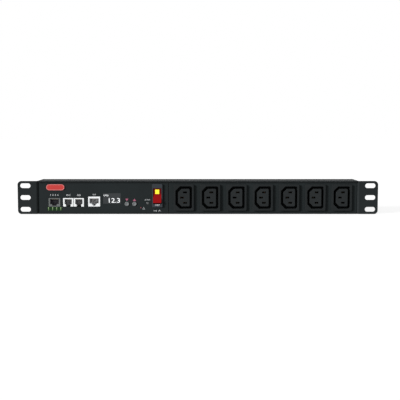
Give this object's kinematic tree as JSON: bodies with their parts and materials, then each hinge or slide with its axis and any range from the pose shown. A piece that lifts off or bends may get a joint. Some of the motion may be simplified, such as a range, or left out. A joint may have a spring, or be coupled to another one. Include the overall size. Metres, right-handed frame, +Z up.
{
  "type": "rack power distribution unit",
  "caption": "Slim black 19-inch rack power strip with folded slotted ears, C13 outlets, a control end with jacks, display, buttons and red rocker breaker, and a rear inlet.",
  "frame": {"origin": "centre of the rack slot pattern, on the rack plane at the back of the ears", "axes": "+X along the unit to the right as seen from the front, +Y from the front to the back, +Z up"},
  "size_m": [0.4826, 0.0516, 0.0444],
  "materials": {
    "housing": "black anodised, satin",
    "ear": "black powder coat, fine texture",
    "fascia": "black paint, matt",
    "screw": "zinc plated, satin",
    "outlet": "moulded black, satin",
    "contact": "bright",
    "busbar": "bare copper alloy, satin",
    "breaker_case": "moulded dark grey, satin",
    "rocker": "translucent red, gloss",
    "lens": "clear yellow, lit",
    "window": "smoked clear, gloss",
    "module": "black",
    "button": "moulded grey, satin",
    "switch": "black",
    "status_led": "clear grey, gloss",
    "alarm_led": "red diffused",
    "channel_led": "green diffused",
    "sensor_jack": "moulded grey",
    "serial_jack": "moulded off-white",
    "jack_insert": "moulded black",
    "jack_shield": "tinned, bright",
    "jack_contact": "gold plated",
    "board": "green solder mask, satin",
    "standoff": "nickel plated",
    "supply": "potted black",
    "transformer": "moulded blue",
    "inlet": "moulded black, satin",
    "pin": "nickel plated",
    "badge": "red, gloss",
    "line_wire": "brown insulation",
    "neutral_wire": "blue insulation",
    "earth_wire": "green and yellow insulation"
  },
  "bodies": {
    "unit": {"housing_profile": "housing", "left_ear_bracket": "ear", "right_ear_bracket": "ear", "left_bracket_screws": "screw", "right_bracket_screws": "screw", "control_fascia": "fascia", "outlet_fascia": "fascia", "badge_plate": "badge", "outlet_1_shell": "outlet", "outlet_1_core": "outlet", "outlet_2_shell": "outlet", "outlet_2_core": "outlet", "outlet_3_shell": "outlet", "outlet_3_core": "outlet", "outlet_4_shell": "outlet", "outlet_4_core": "outlet", "outlet_5_shell": "outlet", "outlet_5_core": "outlet", "outlet_6_shell": "outlet", "outlet_6_core": "outlet", "outlet_7_shell": "outlet", "outlet_7_core": "outlet", "live_contacts": "contact", "live_busbar": "busbar", "neutral_contacts": "contact", "neutral_busbar": "busbar", "earth_contacts": "contact", "earth_busbar": "busbar", "breaker_case": "breaker_case", "breaker_terminals": "contact", "display_window": "window", "display_module": "module", "button_switches": "switch", "status_led": "status_led", "alarm_led": "alarm_led", "channel_leds": "channel_led", "sensor_jack": "sensor_jack", "serial_jack_1": "serial_jack", "serial_jack_2": "serial_jack", "lan_jack_insert": "jack_insert", "lan_jack_shell": "jack_shield", "sensor_jack_contacts": "jack_contact", "serial_jack_contacts": "jack_contact", "lan_jack_contacts": "jack_contact", "control_board": "board", "board_standoffs": "standoff", "board_screws": "screw", "supply_module": "supply", "current_transformer": "transformer", "inlet_shell": "inlet", "inlet_pins": "pin", "inlet_screws": "screw", "line_wire_in": "line_wire", "line_wire_out": "line_wire", "neutral_wire": "neutral_wire", "earth_wire": "earth_wire"},
    "rocker": {"breaker_rocker": "rocker", "rocker_lens": "lens"},
    "button_down": {"button_down": "button"},
    "button_up": {"button_up": "button"}
  },
  "joints": [
    {"name": "rocker_turn", "type": "hinge", "parent": "unit", "child": "rocker", "pos_m": [-0.0544, 0.0017, 0.0019], "axis": [1, 0, 0], "range_deg": [0, 16]},
    {"name": "down_press", "type": "slide", "parent": "unit", "child": "button_down", "axis": [0, 1, 0], "range_m": [0, 0.0006], "stiffness_N_per_m": 1000},
    {"name": "up_press", "type": "slide", "parent": "unit", "child": "button_up", "axis": [0, 1, 0], "range_m": [0, 0.0006], "stiffness_N_per_m": 1000}
  ]
}
